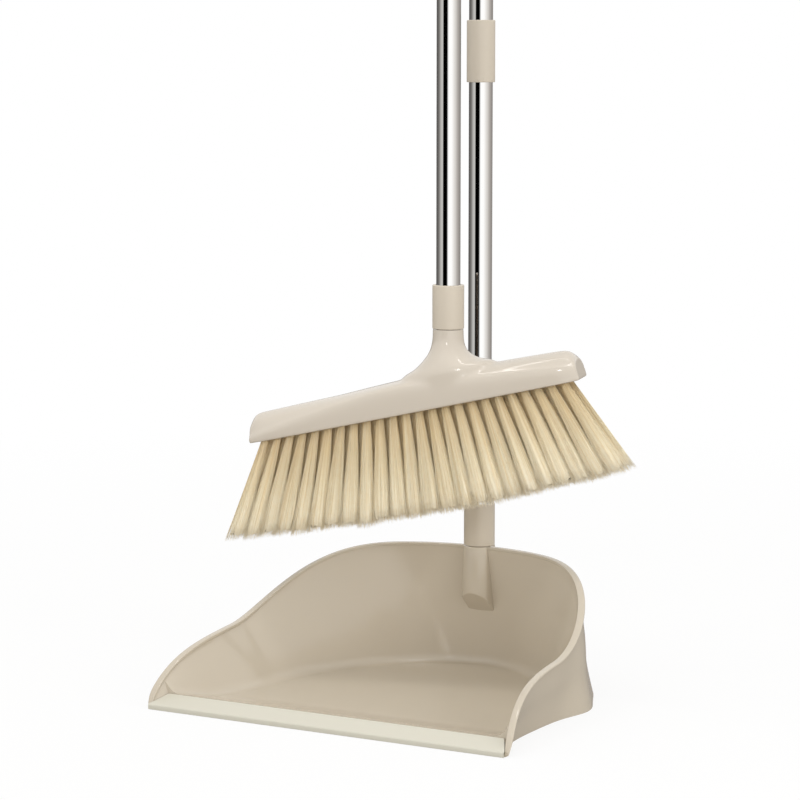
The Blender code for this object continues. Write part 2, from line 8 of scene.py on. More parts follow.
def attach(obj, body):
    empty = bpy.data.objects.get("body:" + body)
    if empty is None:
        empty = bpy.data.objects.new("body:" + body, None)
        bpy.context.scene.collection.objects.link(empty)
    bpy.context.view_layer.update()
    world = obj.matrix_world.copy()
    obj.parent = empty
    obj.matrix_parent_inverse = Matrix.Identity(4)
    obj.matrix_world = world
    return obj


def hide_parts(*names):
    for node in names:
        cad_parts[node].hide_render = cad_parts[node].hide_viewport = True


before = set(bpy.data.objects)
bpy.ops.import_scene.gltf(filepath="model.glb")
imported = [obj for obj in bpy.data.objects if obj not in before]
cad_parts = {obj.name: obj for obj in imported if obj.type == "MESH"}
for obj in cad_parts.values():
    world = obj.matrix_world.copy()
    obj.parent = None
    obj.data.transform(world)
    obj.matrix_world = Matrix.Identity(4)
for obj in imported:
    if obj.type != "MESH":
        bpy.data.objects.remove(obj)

# Looks of the dust pan and broom set.  Lengths are in millimetres in the shape
# functions and become metres when a mesh is made.  The pan's plan, rim and
# section curves are the ones the CAD part is drawn with, sampled more finely.
MM = 0.001
RNG = np.random.default_rng(20417)
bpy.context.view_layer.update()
SCENE = bpy.context.scene

# ------------------------------------------------------------ sizes of the set
LIP_Y = -130.0
GAP = 0.3
TUBE_R = 9.5
TUBE_WALL = 0.8
PAN_AXIS_Y = 117.0
BROOM_AXIS_Y = 64.0
COLLAR_R = 12.5
COUPLER_R = 11.3
SLEEVE_IN = 9.85
SOCKET_R = 9.3
BOSS_TOP = 103.4
PAN_COLLAR_TOP = 138.0
PAN_COUPLER_Z = (476.0, 525.0)
PAN_JOIN_Z = 500.0
PAN_GRIP_Z = 790.0
NECK_TOP = 283.5
BROOM_COLLAR_TOP = 318.5
BROOM_COUPLER_Z = (656.0, 705.0)
BROOM_JOIN_Z = 682.0
BROOM_GRIP_Z = 970.0
GRIP_LEN = 115.0
GRIP_R = 13.2
GRIP_SOCKET = 60.0
CLIP_Z = (592.0, 620.0)
PAN_CENTRE = 104.0
BASE_HALF = 135.0
BASE_BACK = 163.0
BASE_POWER = 3.0
TOE = 9.0
TOE_Y = 160.0
BASE_FLARE = 20.5
RIM_HALF = 146.0
RIM_BACK = 143.0
RIM_POWER = 2.2
RIM_FLARE = 11.0
FLOOR_HALF = 116.0
FLOOR_BACK = 156.5
FLOOR_POWER = 1.8
FLOOR_FLARE = 31.0
FILLET = 7.5
HOLLOW_WALL = 3.0
FLANGE_W = 5.5
FLANGE_T = 2.2
WALL_T = 2.6
FLOOR_Z = 3.0
SILL_Z = 10.2
SILL_Y = 14.6
RAMP_END = 60.0
BOSS_R = 13.0
BOSS_FLAT = 10.6
BOSS_DRAFT = 1.1
BOSS_CUT = (233.5, 65.0)
BOSS_SLOPE = 0.9
NOSE_R = 8.0
NOSE_RIM = 4.4
NOSE_FOOT = 2.4
HEAD_Z = 224.0
HEAD_U = 26.25
HEAD_YAW = math.radians(15.0)
HEAD_TILT = math.radians(12.4)
HEAD_L = 137.25
HEAD_B = 22.5
BLOCK_T = 5.6
TUFTS = 24
TUFT_FIRST = -124.5
TUFT_LAST = 124.5
TUFT_LEN = 82.0
FAN_LEFT = -28.0
FAN_RIGHT = 21.5
ROWS = (-13.5, -4.5, 4.5, 13.5)


# ------------------------------------------------------------------- materials
def srgb(r, g, b):
    def lin(c):
        c = c / 255.0
        return c / 12.92 if c <= 0.04045 else ((c + 0.055) / 1.055) ** 2.4
    return (lin(r), lin(g), lin(b), 1.0)


def new_material(name):
    m = bpy.data.materials.new(name)
    m.use_nodes = True
    nt = m.node_tree
    bsdf = nt.nodes["Principled BSDF"]
    coord = nt.nodes.new("ShaderNodeTexCoord")
    return m, nt, bsdf, coord


def noise_node(nt, vector, scale, detail=2.0, rough=0.5):
    n = nt.nodes.new("ShaderNodeTexNoise")
    n.inputs["Scale"].default_value = scale
    n.inputs["Detail"].default_value = detail
    n.inputs["Roughness"].default_value = rough
    nt.links.new(vector, n.inputs["Vector"])
    return n


def mix_colour(nt, factor, a, b):
    n = nt.nodes.new("ShaderNodeMix")
    n.data_type = "RGBA"
    nt.links.new(factor, n.inputs["Factor"])
    for key, value in (("A", a), ("B", b)):
        sock = [s for s in n.inputs if s.name == key and s.type == "RGBA"][0]
        if isinstance(value, tuple):
            sock.default_value = value
        else:
            nt.links.new(value, sock)
    return [s for s in n.outputs if s.type == "RGBA"][0]


def map_range(nt, value, a, b, c, d):
    n = nt.nodes.new("ShaderNodeMapRange")
    n.inputs["From Min"].default_value = a
    n.inputs["From Max"].default_value = b
    n.inputs["To Min"].default_value = c
    n.inputs["To Max"].default_value = d
    nt.links.new(value, n.inputs["Value"])
    return n.outputs["Result"]


def bump_node(nt, height, strength, distance):
    n = nt.nodes.new("ShaderNodeBump")
    n.inputs["Strength"].default_value = strength
    n.inputs["Distance"].default_value = distance
    nt.links.new(height, n.inputs["Height"])
    return n.outputs["Normal"]


def plastic(name, colour, rough, spread=0.012, grain=1600.0, grain_depth=0.000008, specular=0.5):
    """Moulded plastic: faint cloudiness in the colour, uneven gloss, fine skin."""
    m, nt, bsdf, coord = new_material(name)
    obj = coord.outputs["Object"]
    cloud = noise_node(nt, obj, 9.0, 3.0)
    fine = noise_node(nt, obj, 170.0, 2.0)
    dark = tuple(c * (1.0 - spread) for c in colour[:3]) + (1.0,)
    light = tuple(min(1.0, c * (1.0 + spread)) for c in colour[:3]) + (1.0,)
    base = mix_colour(nt, cloud.outputs["Fac"], dark, light)
    warm = (colour[0] * 1.01, colour[1], colour[2] * 0.97, 1.0)
    speck = map_range(nt, fine.outputs["Fac"], 0.35, 0.75, 0.0, 0.25)
    base = mix_colour(nt, speck, base, warm)
    nt.links.new(base, bsdf.inputs["Base Color"])
    gloss = noise_node(nt, obj, 34.0, 3.0)
    nt.links.new(map_range(nt, gloss.outputs["Fac"], 0.3, 0.7, rough - 0.015, rough + 0.02), bsdf.inputs["Roughness"])
    skin = noise_node(nt, obj, grain, 2.0)
    nt.links.new(bump_node(nt, skin.outputs["Fac"], 0.12, grain_depth), bsdf.inputs["Normal"])
    bsdf.inputs["Specular IOR Level"].default_value = specular
    return m


def chrome(name):
    """Chromed steel tube: drawn streaks along the tube and a faint haze."""
    m, nt, bsdf, coord = new_material(name)
    mapping = nt.nodes.new("ShaderNodeMapping")
    mapping.inputs["Scale"].default_value = (1.0, 1.0, 0.012)
    nt.links.new(coord.outputs["Object"], mapping.inputs["Vector"])
    streak = noise_node(nt, mapping.outputs["Vector"], 900.0, 2.0)
    haze = noise_node(nt, coord.outputs["Object"], 22.0, 3.0)
    base = mix_colour(nt, haze.outputs["Fac"], (0.79, 0.79, 0.785, 1.0), (0.83, 0.825, 0.815, 1.0))
    nt.links.new(base, bsdf.inputs["Base Color"])
    bsdf.inputs["Metallic"].default_value = 1.0
    nt.links.new(map_range(nt, streak.outputs["Fac"], 0.3, 0.7, 0.02, 0.045), bsdf.inputs["Roughness"])
    nt.links.new(bump_node(nt, streak.outputs["Fac"], 0.05, 0.00001), bsdf.inputs["Normal"])
    return m


def bristle_material(name):
    """Soft synthetic fibre: pale and matt at the tip; the darker golden colour towards the root is painted shade under
    the head and between the tufts.
    """
    m, nt, bsdf, coord = new_material(name)
    along = nt.nodes.new("ShaderNodeAttribute")
    along.attribute_name = "along"
    tint = nt.nodes.new("ShaderNodeAttribute")
    tint.attribute_name = "tint"
    # the root end of this ramp is painted shade: darker and more golden where the head and the neighbouring tufts
    # shadow the fibres
    ramp = nt.nodes.new("ShaderNodeValToRGB")
    ramp.color_ramp.elements[0].position = 0.0
    ramp.color_ramp.elements[0].color = srgb(224, 194, 138)
    ramp.color_ramp.elements[1].position = 1.0
    ramp.color_ramp.elements[1].color = srgb(252, 244, 222)
    e = ramp.color_ramp.elements.new(0.22)
    e.color = srgb(241, 220, 174)
    e = ramp.color_ramp.elements.new(0.6)
    e.color = srgb(249, 237, 205)
    nt.links.new(along.outputs["Fac"], ramp.inputs["Fac"])
    lit = mix_colour(nt, map_range(nt, tint.outputs["Fac"], 0.0, 1.0, 0.0, 0.55), ramp.outputs["Color"], srgb(255, 249, 230))
    deep = mix_colour(nt, map_range(nt, tint.outputs["Fac"], 0.4, 0.0, 0.0, 0.7), lit, srgb(226, 196, 142))
    wave = noise_node(nt, coord.outputs["Object"], 260.0, 2.0)
    out = mix_colour(nt, map_range(nt, wave.outputs["Fac"], 0.4, 0.75, 0.0, 0.2), deep, srgb(240, 216, 168))
    nt.links.new(out, bsdf.inputs["Base Color"])
    nt.links.new(map_range(nt, along.outputs["Fac"], 0.0, 1.0, 0.42, 0.62), bsdf.inputs["Roughness"])
    nt.links.new(bump_node(nt, wave.outputs["Fac"], 0.1, 0.00002), bsdf.inputs["Normal"])
    bsdf.inputs["Specular IOR Level"].default_value = 0.35
    return m


PAN_MAT = plastic("pan_moulding", srgb(202, 192, 175), 0.13)
LIP_MAT = plastic("lip_moulding", srgb(211, 208, 194), 0.38, spread=0.012)
FIT_MAT = plastic("fitting_moulding", srgb(209, 199, 183), 0.34)
GRIP_MAT = plastic("grip_moulding", srgb(200, 190, 175), 0.42, grain=1500.0, grain_depth=0.00005)
HEAD_MAT = plastic("head_moulding", srgb(209, 200, 187), 0.12)
BLOCK_MAT = plastic("block_moulding", srgb(206, 192, 170), 0.5)
PLUG_MAT = plastic("plug_moulding", srgb(186, 174, 158), 0.5)
CHROME_MAT = chrome("chromed_tube")
BRISTLE_MAT = bristle_material("soft_bristle")


# ---------------------------------------------------------------- mesh helpers
class Builder:
    """Collects faces by point, so that equal points are one vertex."""

    def __init__(self):
        self.keys = {}
        self.points = []
        self.faces = []
        self.seen = set()

    def vert(self, p):
        k = (round(p[0], 3), round(p[1], 3), round(p[2], 3))
        if k not in self.keys:
            self.keys[k] = len(self.points)
            self.points.append((p[0], p[1], p[2]))
        return self.keys[k]

    def face(self, *pts):
        ids = []
        for p in pts:
            i = self.vert(p)
            if i not in ids:
                ids.append(i)
        tag = frozenset(ids)
        if len(ids) > 2 and tag not in self.seen:
            self.seen.add(tag)
            self.faces.append(ids)

    def ring(self, a, b):
        n = len(a)
        for i in range(n):
            j = (i + 1) % n
            self.face(a[i], a[j], b[j], b[i])

    def strip(self, a, b):
        for i in range(len(a) - 1):
            self.face(a[i], a[i + 1], b[i + 1], b[i])


def add_object(name, build, mat=None, sharp=30.0, matrix=None):
    mesh = bpy.data.meshes.new(name)
    pts = [Vector(p) for p in build.points]
    if matrix is not None:
        pts = [matrix @ p for p in pts]
    mesh.from_pydata([p * MM for p in pts], [], build.faces)
    bm = bmesh.new()
    bm.from_mesh(mesh)
    bmesh.ops.recalc_face_normals(bm, faces=bm.faces)
    bm.to_mesh(mesh)
    bm.free()
    if mat is not None:
        mesh.materials.append(mat)
    mesh.shade_smooth()
    if sharp:
        mesh.set_sharp_from_angle(angle=math.radians(sharp))
    ob = bpy.data.objects.new(name, mesh)
    SCENE.collection.objects.link(ob)
    return ob


def settle(ob, sharp=None, mat=None):
    """Bakes an object's modifiers into its own mesh."""
    bpy.context.view_layer.update()
    deps = bpy.context.evaluated_depsgraph_get()
    mesh = bpy.data.meshes.new_from_object(ob.evaluated_get(deps))
    ob.modifiers.clear()
    old = ob.data
    ob.data = mesh
    mesh.name = ob.name
    bpy.data.meshes.remove(old)
    if mat is not None:
        mesh.materials.clear()
        mesh.materials.append(mat)
    if sharp:
        mesh.shade_smooth()
        mesh.set_sharp_from_angle(angle=math.radians(sharp))


def combine(ob, tools, sharp=30.0):
    for tool, operation in tools:
        m = ob.modifiers.new("join", "BOOLEAN")
        m.operation = operation
        m.object = tool
        m.solver = "EXACT"
    settle(ob, sharp, ob.data.materials[0])
    for tool, _ in tools:
        bpy.data.objects.remove(tool, do_unlink=True)


def circle(r, z, n=96, cx=0.0, cy=0.0):
    return [(cx + r * math.cos(2 * math.pi * i / n), cy + r * math.sin(2 * math.pi * i / n), z) for i in range(n)]


def turned(profile, cy, n=96):
    b = Builder()
    rings = [circle(r, z, n, 0.0, cy) if r > 0 else [(0.0, cy, z)] * n for r, z in profile]
    for i in range(len(rings)):
        if profile[i][0] == 0 and profile[(i + 1) % len(rings)][0] == 0:
            continue
        b.ring(rings[i], rings[(i + 1) % len(rings)])
    return b


def solid_of_rings(rings):
    b = Builder()
    for i in range(len(rings) - 1):
        b.ring(rings[i], rings[i + 1])
    b.face(*rings[0])
    b.face(*rings[-1])
    return b


def box(lo, hi):
    r0 = [(lo[0], lo[1], lo[2]), (hi[0], lo[1], lo[2]), (hi[0], hi[1], lo[2]), (lo[0], hi[1], lo[2])]
    return solid_of_rings([r0, [(x, y, hi[2]) for x, y, _ in r0]])


def mix(a, b, t):
    return tuple(a[i] + (b[i] - a[i]) * t for i in range(len(a)))


def rounded(points, cuts, n=5, closed=False):
    """A polyline with its corners turned into short curves; cuts is the reach at each point."""
    out = []
    m = len(points)
    for i, p in enumerate(points):
        if not closed and (i == 0 or i == m - 1) or cuts[i] <= 0:
            out.append(tuple(p))
            continue
        a, c = points[i - 1], points[(i + 1) % m]
        da, dc = math.dist(a, p), math.dist(c, p)
        ra, rc = min(cuts[i], 0.48 * da), min(cuts[i], 0.48 * dc)
        s, e = mix(p, a, ra / da), mix(p, c, rc / dc)
        for k in range(n + 1):
            t = k / n
            out.append(mix(mix(s, p, t), mix(p, e, t), t))
    return out


def finish_piece(ob, body, nodes):
    ob.visible_glossy = body == "pan"
    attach(ob, body)
    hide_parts(*nodes)


# --------------------------------------------------------------------- the pan
def floor_z(y):
    if y >= RAMP_END:
        return FLOOR_Z
    t = min(1.0, (RAMP_END - y) / (RAMP_END - SILL_Y))
    return FLOOR_Z + (SILL_Z - FLOOR_Z) * t ** 1.6


def rim_z(y):
    t = min(1.0, max(0.0, (y - 100.0) / 135.0))
    nose = 5.0 * (1.0 - math.exp(-y / 2.5))
    return nose + 38.5 * (1.0 - math.exp(-y / 26.0)) + 0.068 * y + 43.0 * t * t * (3.0 - 2.0 * t)


def oval(phi, a, b, power):
    c, s = math.cos(phi), math.sin(phi)
    r = ((abs(c) / a) ** power + (abs(s) / b) ** power) ** (-1.0 / power)
    x, y = r * c, r * s
    nx, ny = abs(x / a) ** (power - 1) / a, abs(y / b) ** (power - 1) / b
    m = math.hypot(nx, ny)
    return (x, PAN_CENTRE + y), (nx / m, ny / m)


def toe_out(y):
    return TOE * math.exp(-((y - TOE_Y) / 28.0) ** 2)


def station(kind, value):
    if kind == "side":
        f = (PAN_CENTRE - value) / PAN_CENTRE
        foot = (BASE_HALF + BASE_FLARE * f ** 4 + toe_out(value), value)
        rim = (RIM_HALF + RIM_FLARE * ((PAN_CENTRE - value) / 98.0) ** 2.2, value)
        flo = (FLOOR_HALF + FLOOR_FLARE * f ** 1.3, value)
        return foot, (1.0, 0.0), rim, (1.0, 0.0), flo
    foot, nf = oval(value, BASE_HALF, BASE_BACK, BASE_POWER)
    foot = (foot[0] + math.copysign(toe_out(foot[1]) * min(1.0, abs(foot[0]) / 60.0), foot[0]), foot[1])
    rim, nr = oval(value, RIM_HALF, RIM_BACK, RIM_POWER)
    flo, _ = oval(value, FLOOR_HALF, FLOOR_BACK, FLOOR_POWER)
    return foot, nf, rim, nr, flo


def off(p, n, d, z):
    return (p[0] + n[0] * d, p[1] + n[1] * d, z)


def wall_section(kind, value, bar):
    foot, nf, rim, nr, flo = station(kind, value)
    zr = rim_z(rim[1])
    nose = 1.0 - math.sqrt(1.0 - ((NOSE_R - value) / NOSE_R) ** 2) if bar and value < NOSE_R else 0.0
    under = off(rim, nr, -max(FLANGE_W - WALL_T, NOSE_RIM * nose + 0.3), max(zr - FLANGE_T - 0.3, 0.3 * zr))
    low = off(foot, nf, -NOSE_FOOT * nose, 0.0)
    pts = []
    for k in range(12):
        t = k / 12.0
        t = t * t * (1.6 - 0.6 * t)
        p = mix(low, under, t)
        pull = 1.6 * math.sin(math.pi * min(1.0, t / 0.6)) * min(1.0, zr / 60.0) * nf[0] ** 2
        pts.append((p[0] - nf[0] * pull, p[1] - nf[1] * pull, p[2]))
    side = -NOSE_RIM * nose
    low_z = max(zr - FLANGE_T - 0.1, 0.42 * zr)
    edge_z = zr - min(1.4, 0.3 * zr)
    bead = [mix(low, under, 0.96), under, off(rim, nr, side, low_z), off(rim, nr, side, zr), off(rim, nr, -FLANGE_W, zr), off(rim, nr, -FLANGE_W, edge_z)]
    pts += rounded(bead, (0.0, 0.5, 0.7, 1.7, 1.4, 0.0), 6)[1:]
    lip = min(1.0, zr / 12.0)
    pts.append(off(rim, nr, -FLANGE_W + 0.02, edge_z - 0.7 * lip))
    pts.append(off(rim, nr, -FLANGE_W + 0.55 * lip, edge_z - 1.15 * lip))
    edge = off(rim, nr, -FLANGE_W + 0.6 * lip, edge_z - 1.6 * lip)
    pts.append(edge)
    inner = off(foot, nf, -3.2, 0.0)
    corner = (flo[0], flo[1], floor_z(flo[1]))
    away = math.hypot(flo[0], flo[1] - PAN_CENTRE)
    inward = (-1.0, 0.0) if kind == "side" else (-flo[0] / away, -(flo[1] - PAN_CENTRE) / away)
    end = off(flo, inward, FILLET, floor_z(flo[1] + inward[1] * FILLET))
    k = min(0.5, FILLET / math.dist(corner, edge))
    if bar:
        for i in range(1, 25):
            pts.append(mix(edge, inner, i / 24.0))
    else:
        start = mix(corner, edge, k)
        for i in range(1, 11):
            pts.append(mix(edge, start, i / 10.0))
        for i in range(1, 14):
            t = i / 14.0
            pts.append(mix(mix(start, corner, t), mix(corner, end, t), t))
        pts.append(end)
    return pts, low, inner


def pan_shell():
    b = Builder()
    bars = [1.0, 1.25, 1.6, 2.1, 2.8, 3.6, 4.6, 6.0, 7.0, 8.0, 9.6, 11.4, 13.0, SILL_Y]
    sides = [SILL_Y + (90.0 - SILL_Y) * (i / 34.0) ** 1.15 for i in range(35)] + [93.5, 97.0, 100.5]
    backs = [math.radians(90.0 * i / 54.0) for i in range(55)]
    mir = lambda p: (-p[0], p[1], p[2])
    bar_s = [wall_section("side", y, True) for y in bars]
    full = [wall_section("side", y, False) for y in sides] + [wall_section("back", a, False) for a in backs]
    chain = bar_s + full
    for i in range(len(chain) - 1):
        a, c = chain[i][0], chain[i + 1][0]
        b.strip(a, c)
        b.strip([mir(p) for p in c], [mir(p) for p in a])
    for i in range(len(bar_s) - 1):
        (_, l0, i0), (_, l1, i1) = bar_s[i], bar_s[i + 1]
        b.face(l0, i0, i1, l1)
        b.face(mir(l0), mir(l1), mir(i1), mir(i0))
    first = bar_s[0][0]
    b.face(*first)
    b.face(*[mir(p) for p in first])
    cols = 20

    def row(p):
        q = mir(p)
        return [mix(q, p, i / cols) for i in range(cols + 1)]

    tops = [row(s[0][-1]) for s in full]
    unders = [row(s[2]) for s in full]
    for i in range(len(full) - 1):
        b.strip(tops[i], tops[i + 1])
        b.strip(unders[i], unders[i + 1])
        l0, l1, i0, i1 = full[i][1], full[i + 1][1], full[i][2], full[i + 1][2]
        b.face(l0, l1, i1, i0)
        b.face(mir(l0), mir(i0), mir(i1), mir(l1))
    b.strip(unders[0], tops[0])
    b.points = [(x, y + LIP_Y, z) for x, y, z in b.points]
    return b


def hollow_form():
    places = [("side", y) for y in (72.0, 75.0, 79.0, 84.0, 90.0, 97.0)] + [("back", math.radians(a)) for a in range(0, 61, 3)]
    rings = []
    for kind, value in places:
        foot, nf, rim, nr, flo = station(kind, value)
        zr = rim_z(rim[1])
        under = off(rim, nr, -(FLANGE_W - WALL_T), zr - FLANGE_T - 0.3)
        edge = off(rim, nr, -FLANGE_W, zr - 0.8)
        low = off(foot, nf, 0.0, 0.0)
        seat = (flo[0], flo[1], 0.0)
        gap0 = math.dist(low[:2], seat[:2])
        t = min(0.86, max(0.05, (gap0 - 8.0) / (gap0 - 2.9)))
        apex = mix(mix(low, under, t), mix(seat, edge, t), 0.5)
        d = ((flo[0] - foot[0]) / gap0, (flo[1] - foot[1]) / gap0)
        a = off(foot, d, HOLLOW_WALL + 1.2, -2.0)
        c = off(flo, d, -HOLLOW_WALL - 1.8, -2.0)
        rings.append([(p[0], p[1] + LIP_Y, p[2]) for p in (a, apex, c)])
    return rings


def boss_rings():
    """Round socket post with flattened sides and a sloped underside."""
    n = 120
    ring = [(max(-BOSS_FLAT, min(BOSS_FLAT, x)), y) for x, y, _ in circle(BOSS_R, 0.0, n, 0.0, PAN_AXIS_Y)]
    for _ in range(4):
        ring = [mix(mix(ring[i - 1], ring[(i + 1) % n], 0.5), ring[i], 0.5) for i in range(n)]

    def foot_z(y):
        return BOSS_CUT[1] - BOSS_SLOPE * (y - LIP_Y - BOSS_CUT[0])

    rings = []
    for inset, lift in ((0.9, 0.0), (0.3, 0.15), (0.0, 0.9)):
        k = BOSS_DRAFT * (1.0 - inset / BOSS_R)
        rings.append([(x * k, PAN_AXIS_Y + (y - PAN_AXIS_Y) * k, foot_z(PAN_AXIS_Y + (y - PAN_AXIS_Y) * k) + lift) for x, y in ring])
    for inset, z in ((0.0, BOSS_TOP - 0.8), (0.25, BOSS_TOP - 0.2), (0.9, BOSS_TOP)):
        k = 1.0 - inset / BOSS_R
        rings.append([(x * k, PAN_AXIS_Y + (y - PAN_AXIS_Y) * k, z) for x, y in ring])
    return rings


def make_pan():
    pan = add_object("pan_bowl", pan_shell(), PAN_MAT, sharp=32.0)
    boss = add_object("boss_tool", solid_of_rings(boss_rings()), PAN_MAT)
    tongue = add_object("tongue_tool", box((-128.0, 8.0 + LIP_Y, 1.8), (128.0, SILL_Y + 2.4 + LIP_Y, 3.4)), PAN_MAT)
    bore = add_object("bore_tool", turned([(0, 66.0), (SOCKET_R, 66.0), (SOCKET_R, 112.0), (0, 112.0)], PAN_AXIS_Y, 64), PAN_MAT)
    right = hollow_form()
    r = add_object("hollow_tool_r", solid_of_rings(right), PAN_MAT)
    l = add_object("hollow_tool_l", solid_of_rings([[(-x, y, z) for x, y, z in q] for q in right]), PAN_MAT)
    combine(pan, [(boss, "UNION"), (tongue, "UNION"), (bore, "DIFFERENCE"), (r, "DIFFERENCE"), (l, "DIFFERENCE")], sharp=32.0)
    finish_piece(pan, "pan", ["pan_body"])

    ramp = [(-2.2, 0.0), (-2.5, 4.0), (7.5, 7.5), (14.2, 10.2), (14.2, 3.8), (7.5, 3.8), (7.5, 1.4), (14.2, 1.4), (14.2, 0.0)]
    profile = rounded(ramp, (0.4, 1.3, 0.0, 0.5, 0.3, 0.2, 0.2, 0.2, 0.3), 5, closed=True)

    def half(y):
        return BASE_HALF + BASE_FLARE * ((PAN_CENTRE - y) / PAN_CENTRE) ** 4 - 0.9

    lip = Builder()
    cols = 40
    rings = []
    for c in range(cols + 1):
        t = -1.0 + 2.0 * c / cols
        rings.append([(half(max(y, 1.0)) * t, y + LIP_Y, z) for y, z in profile])
    for c in range(cols):
        lip.ring(rings[c], rings[c + 1])
    lip.face(*rings[0])
    lip.face(*rings[-1])
    ob = add_object("lip_strip", lip, LIP_MAT, sharp=32.0)
    finish_piece(ob, "pan", ["pan_lip"])


# ----------------------------------------------------------------------- poles
def sleeve_profile(z0, z1, r_out, r_in, bev=1.0):
    p = [(r_in, z0), (r_out, z0), (r_out, z1), (r_in, z1)]
    return rounded(p, (0.35, bev, bev, 0.35), 5, closed=True)


def tube_profile(z0, z1):
    r = TUBE_R - TUBE_WALL
    p = [(r, z0), (TUBE_R, z0), (TUBE_R, z0 + 1.5), (TUBE_R, z0 + 3.0), (TUBE_R, z1 - 3.0), (TUBE_R, z1 - 1.5), (TUBE_R, z1), (r, z1)]
    return rounded(p, (0.15, 0.3, 0.0, 0.0, 0.0, 0.0, 0.3, 0.15), 3, closed=True)


def grip(name, z0, cy):
    n = 72
    ear = z0 + GRIP_LEN - 12.0

    def oblong(z, ax, ay, p):
        pts = []
        for i in range(n):
            a = 2 * math.pi * i / n
            c, s = math.cos(a), math.sin(a)
            r = ((abs(c) / ax) ** p + (abs(s) / ay) ** p) ** (-1.0 / p)
            pts.append((r * c, cy + r * s, z))
        return pts

    rings = []
    for z, r in ((0.0, GRIP_R - 1.5), (0.15, GRIP_R - 0.9), (0.5, GRIP_R - 0.4), (1.0, GRIP_R - 0.12), (1.8, GRIP_R), (5.4, GRIP_R),
                 (5.8, GRIP_R - 0.12), (6.2, GRIP_R - 0.45), (7.0, GRIP_R - 0.45), (7.4, GRIP_R - 0.12), (7.8, GRIP_R)):
        rings.append(oblong(z0 + z, r, r, 2.0))
    for k in range(13):
        t = k / 12.0
        rings.append(oblong(z0 + 12.0 + 60.0 * t, GRIP_R - 0.35 * math.sin(math.pi * t), GRIP_R - 0.35 * math.sin(math.pi * t), 2.0))
    for k in range(1, 19):
        t = k / 18.0
        s = t * t * (3.0 - 2.0 * t)
        rings.append(oblong(z0 + 72.0 + (GRIP_LEN - 12.0 - 72.0) * t, GRIP_R - 1.2 * s, GRIP_R - 8.4 * s, 2.0 + 1.2 * s))
    for k in range(1, 14):
        a = math.radians(88.5 * k / 13.0)
        rings.append(oblong(ear + 12.0 * math.sin(a), max(0.6, 12.0 * math.cos(a)), 4.8 - 3.4 * (k / 13.0) ** 6, 3.2 - 0.8 * k / 13.0))
    ob = add_object(name + "_handle", solid_of_rings(rings), GRIP_MAT, sharp=40.0)
    sock = add_object("sock_tool", turned([(0, z0 - 5.0), (SLEEVE_IN, z0 - 5.0), (SLEEVE_IN, z0 + GRIP_SOCKET), (0, z0 + GRIP_SOCKET)], cy), GRIP_MAT)
    rings = []
    for dy, grow in ((-20.0, 2.2), (-5.1, 1.5), (-4.5, 0.7), (-3.6, 0.15), (-2.0, 0.0), (2.0, 0.0), (3.6, 0.15), (4.5, 0.7), (5.1, 1.5), (20.0, 2.2)):
        rings.append([((5.0 + grow) * math.cos(2 * math.pi * i / 48), cy + dy, ear - 1.0 + (6.0 + grow) * math.sin(2 * math.pi * i / 48)) for i in range(48)])
    eye = add_object("eye_tool", solid_of_rings(rings), GRIP_MAT)
    combine(ob, [(sock, "DIFFERENCE"), (eye, "DIFFERENCE")], sharp=30.0)
    return ob


def make_poles():
    for side, cy, foot, collar_top, coupler, join, grip_z, low_body, up_body in (
            ("pan", PAN_AXIS_Y, BOSS_TOP, PAN_COLLAR_TOP, PAN_COUPLER_Z, PAN_JOIN_Z, PAN_GRIP_Z, "pan_lower_handle", "pan_upper_handle"),
            ("broom", BROOM_AXIS_Y, NECK_TOP + 0.1, BROOM_COLLAR_TOP, BROOM_COUPLER_Z, BROOM_JOIN_Z, BROOM_GRIP_Z, "broom_lower_handle", "broom_upper_handle")):
        tube_foot = foot + 11.4
        ob = add_object(side + "_collar_sleeve", turned(sleeve_profile(foot + GAP, collar_top, COLLAR_R, SLEEVE_IN, 0.8), cy), FIT_MAT)
        finish_piece(ob, low_body, [side + "_collar"])
        ob = add_object(side + "_lower_pole", turned(tube_profile(tube_foot, join - 3.0), cy), CHROME_MAT)
        finish_piece(ob, low_body, [side + "_lower_tube"])
        ob = add_object(side + "_coupler_sleeve", turned(sleeve_profile(*coupler, COUPLER_R, SLEEVE_IN, 0.9), cy), FIT_MAT)
        finish_piece(ob, low_body, [side + "_coupler"])
        ob = add_object(side + "_upper_pole", turned(tube_profile(join + 3.0, grip_z + GRIP_SOCKET - 0.4), cy), CHROME_MAT)
        finish_piece(ob, up_body, [side + "_upper_tube"])
        ob = grip(side, grip_z, cy)
        finish_piece(ob, up_body, [side + "_grip"])


